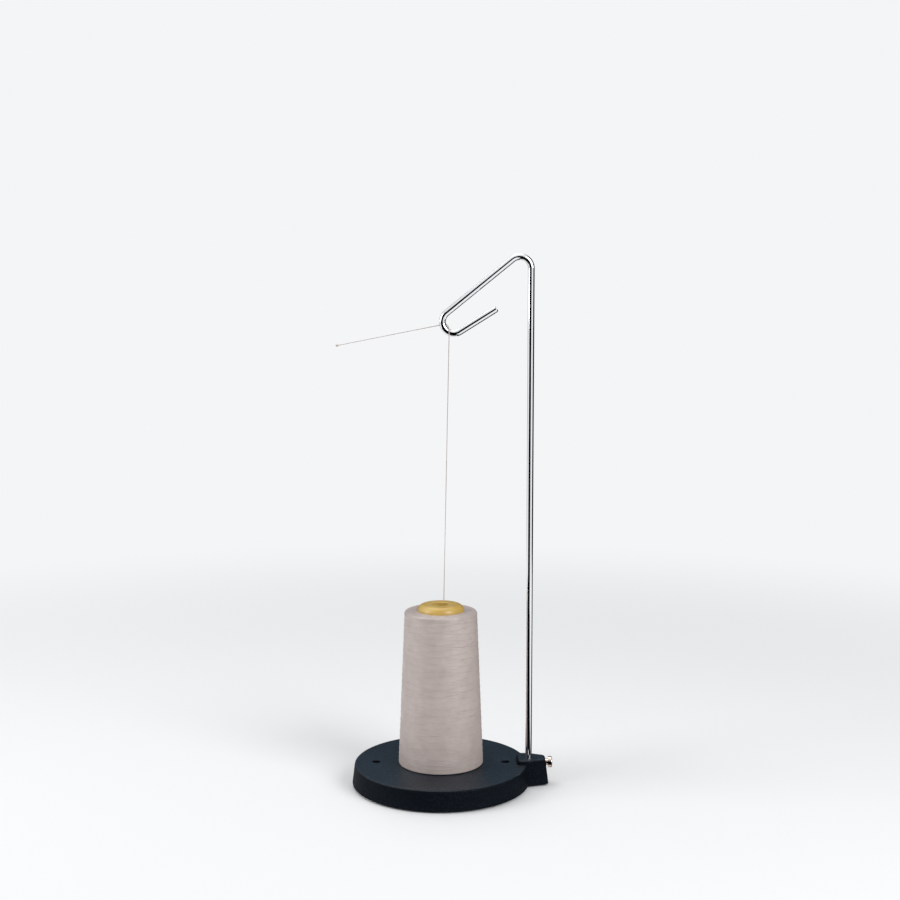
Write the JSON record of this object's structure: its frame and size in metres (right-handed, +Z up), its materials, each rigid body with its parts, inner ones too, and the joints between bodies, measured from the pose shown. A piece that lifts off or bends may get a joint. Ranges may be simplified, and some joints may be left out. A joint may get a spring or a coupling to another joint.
{
  "type": "thread rack",
  "caption": "Weighted round stand for one cone of sewing thread, with a bent wire thread guide clamped in a lug on its rim.",
  "frame": {"origin": "middle of the flat underside, where the stand meets the table", "axes": "+Z up along the spool pin, +X towards the lug that holds the wire guide, the guide lies in the plane Y = 0"},
  "size_m": [0.1336, 0.1108, 0.3298],
  "materials": {
    "painted_iron": "blue-black paint over a fine sand-cast texture",
    "pad_foam": "matt closed-cell foam rubber",
    "chrome_wire": "bright drawn wire",
    "nickel_screw": "bright nickel",
    "turned_steel": "turned, zinc plated",
    "holder_plastic": "moulded, satin",
    "tube_plastic": "moulded, glossy yellow",
    "thread": "spun polyester, soft sheen"
  },
  "bodies": {
    "root": {"base_casting": "painted_iron", "base_pad": "pad_foam", "spool_pin": "turned_steel", "strand_lower": "thread", "strand_upper": "thread"},
    "guide": {"guide_rod": "chrome_wire", "strand_lead": "thread"},
    "screw": {"clamp_screw": "nickel_screw"},
    "holder": {"cone_holder": "holder_plastic"},
    "cone": {"thread_tube": "tube_plastic", "winding_core": "thread", "winding_layer": "thread"}
  },
  "joints": [
    {"name": "guide_swivel", "type": "hinge", "parent": "root", "child": "guide", "pos_m": [0.055, 0, 0.0165], "axis": [0, 0, 1], "range_deg": [-90, 90], "deforming": ["strand_upper"]},
    {"name": "clamp_screw_turn", "type": "hinge", "parent": "root", "child": "screw", "pos_m": [0.06, 0, 0.0132], "axis": [1, 0, 0], "range_deg": [0, 720]},
    {"name": "holder_spin", "type": "hinge", "parent": "root", "child": "holder", "pos_m": [0, 0, 0.02], "axis": [0, 0, 1], "continuous": true},
    {"name": "cone_lift", "type": "slide", "parent": "holder", "child": "cone", "axis": [0, 0, 1], "range_m": [0, 0.07], "deforming": ["strand_lower"]}
  ]
}
